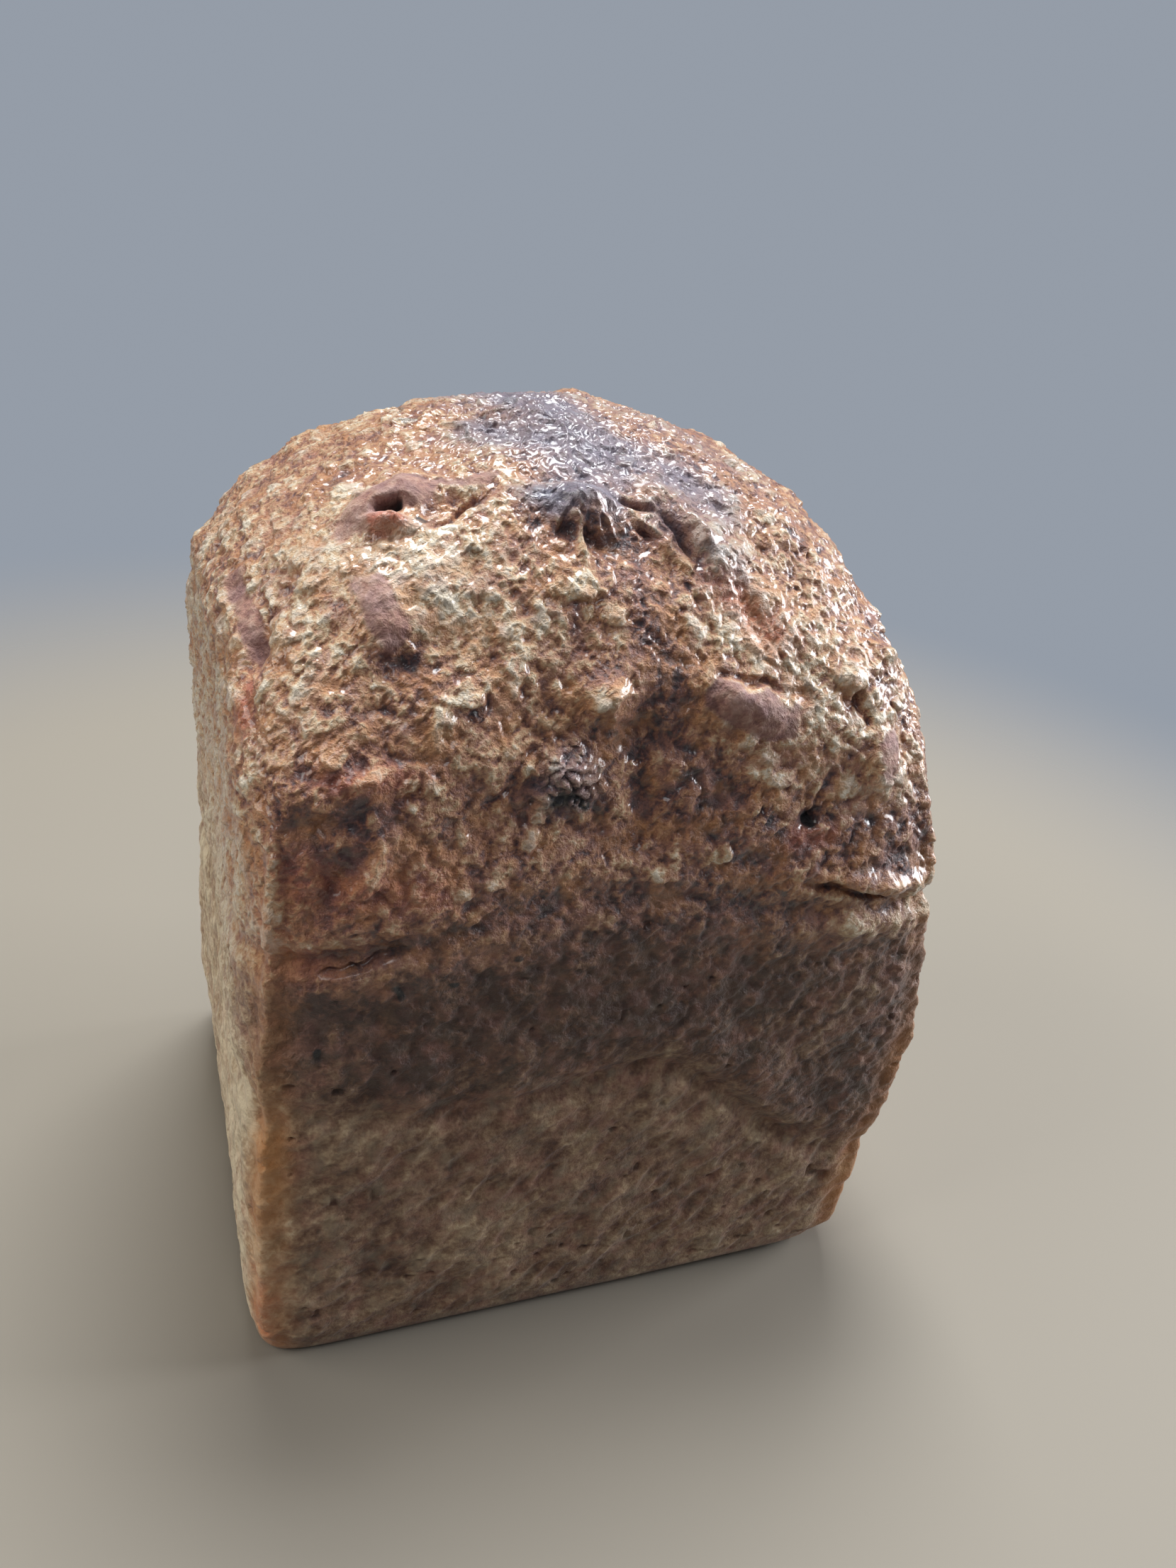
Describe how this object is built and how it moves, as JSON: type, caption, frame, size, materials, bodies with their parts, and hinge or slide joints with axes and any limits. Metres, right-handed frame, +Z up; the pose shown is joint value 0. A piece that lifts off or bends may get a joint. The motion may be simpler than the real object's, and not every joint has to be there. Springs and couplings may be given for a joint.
{
  "type": "mini loaf of bread",
  "caption": "Small tin-baked savoury loaf with flat tapered sides, a fold half way up and a tall, rough, blistered golden dome with a scorched peak; stands on its flat base.",
  "frame": {"origin": "middle of the flat face that the loaf rests on", "axes": "+Z up through the dome; the broad front face looks towards -Y; +X runs to the right along that face"},
  "size_m": [0.0907, 0.074, 0.1115],
  "materials": {
    "crust": "baked crust, rough and flaky with glossy blisters"
  },
  "bodies": {
    "root": {"loaf": "crust"}
  },
  "joints": []
}
